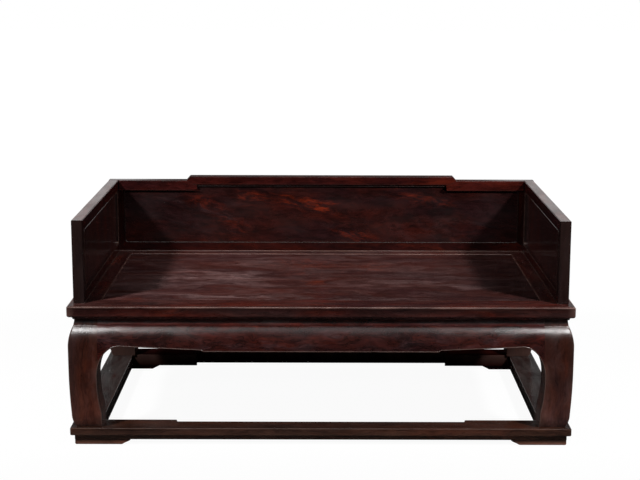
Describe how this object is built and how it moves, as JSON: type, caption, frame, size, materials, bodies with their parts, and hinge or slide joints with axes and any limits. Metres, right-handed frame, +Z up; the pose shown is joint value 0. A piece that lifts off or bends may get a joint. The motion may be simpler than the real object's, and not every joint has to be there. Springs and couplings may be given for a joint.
{
  "type": "luohan daybed",
  "caption": "Rosewood couch-bed with a low back railing stepped up in the middle, lower side railings, bulging legs and aprons, and a floor stretcher frame on pad feet.",
  "frame": {"origin": "on the floor, at the middle of the base", "axes": "+Z up, +X along the length to the right as seen from the open front, -Y towards the open front"},
  "size_m": [1.9, 1.14, 0.877],
  "materials": {
    "rosewood_frame": "waxed semi-gloss, dark purple-brown with reddish grain",
    "rosewood_figured": "waxed semi-gloss, broad flame figure",
    "rosewood_plain": "waxed satin, plain dark"
  },
  "bodies": {
    "base": {"foot_front_left": "rosewood_plain", "foot_front_right": "rosewood_plain", "foot_back_left": "rosewood_plain", "foot_back_right": "rosewood_plain", "stretcher_front": "rosewood_frame", "stretcher_back": "rosewood_frame", "stretcher_left": "rosewood_frame", "stretcher_right": "rosewood_frame", "leg_front_left": "rosewood_frame", "leg_front_right": "rosewood_frame", "leg_back_left": "rosewood_frame", "leg_back_right": "rosewood_frame", "apron_front": "rosewood_frame", "apron_back": "rosewood_frame", "apron_left": "rosewood_frame", "apron_right": "rosewood_frame", "waist_front": "rosewood_frame", "waist_back": "rosewood_frame", "waist_left": "rosewood_frame", "waist_right": "rosewood_frame", "seat_rail_front": "rosewood_frame", "seat_rail_back": "rosewood_frame", "seat_rail_left": "rosewood_frame", "seat_rail_right": "rosewood_frame", "seat_board_front": "rosewood_figured", "seat_board_back": "rosewood_figured", "batten_1": "rosewood_plain", "batten_2": "rosewood_plain", "batten_3": "rosewood_plain", "batten_4": "rosewood_plain"},
    "back_railing": {"back_top_rail_left": "rosewood_frame", "back_top_rail_middle": "rosewood_frame", "back_top_rail_right": "rosewood_frame", "back_bottom_rail": "rosewood_frame", "back_stile_left": "rosewood_frame", "back_stile_right": "rosewood_frame", "back_panel": "rosewood_figured", "back_seat_tenons": "rosewood_plain"},
    "left_railing": {"left_top_rail": "rosewood_frame", "left_bottom_rail": "rosewood_frame", "left_front_stile": "rosewood_frame", "left_back_stile": "rosewood_frame", "left_panel": "rosewood_figured", "left_corner_keys": "rosewood_plain", "left_seat_tenons": "rosewood_plain"},
    "right_railing": {"right_top_rail": "rosewood_frame", "right_bottom_rail": "rosewood_frame", "right_front_stile": "rosewood_frame", "right_back_stile": "rosewood_frame", "right_panel": "rosewood_figured", "right_corner_keys": "rosewood_plain", "right_seat_tenons": "rosewood_plain"}
  },
  "joints": [
    {"name": "back_railing_lift", "type": "slide", "parent": "base", "child": "back_railing", "axis": [0, 0, 1], "range_m": [0, 0.12]},
    {"name": "left_railing_lift", "type": "slide", "parent": "back_railing", "child": "left_railing", "axis": [0, 0, 1], "range_m": [0, 0.04]},
    {"name": "right_railing_lift", "type": "slide", "parent": "back_railing", "child": "right_railing", "axis": [0, 0, 1], "range_m": [0, 0.04]}
  ]
}
